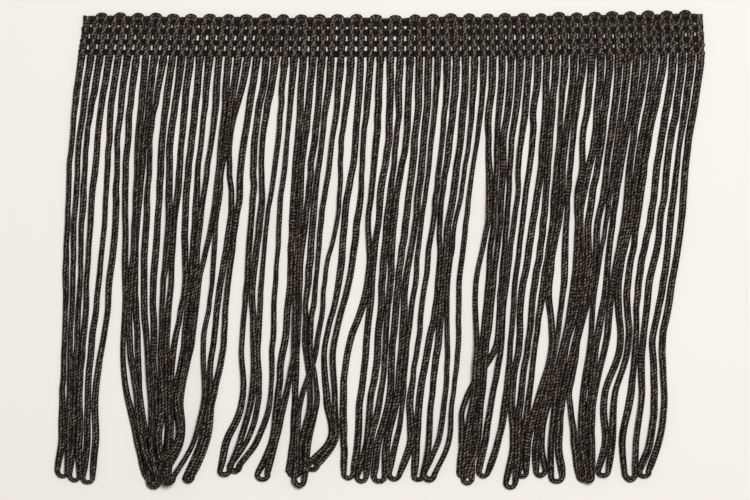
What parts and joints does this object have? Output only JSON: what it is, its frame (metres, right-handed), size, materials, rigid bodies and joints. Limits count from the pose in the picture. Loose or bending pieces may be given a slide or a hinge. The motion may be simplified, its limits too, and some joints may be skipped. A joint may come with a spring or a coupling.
{
  "type": "looped fringe trim",
  "caption": "Flat sewing trim: a narrow chain-stitched heading with a close row of long cord loops hanging from its lower edge.",
  "frame": {"origin": "middle of the heading, halfway along its length and across its width, on its flat back", "axes": "+X along the heading, +Z out of the trim's face, and the loops run from the heading towards -Y"},
  "size_m": [0.2075, 0.1526, 0.0026],
  "materials": {
    "cord": "black knitted cord with a soft satin sheen",
    "chain_stitch": "black chain-stitched yarn, slightly duller"
  },
  "bodies": {
    "root": {"heading": "chain_stitch", "looped_fringe": "cord"}
  },
  "joints": []
}
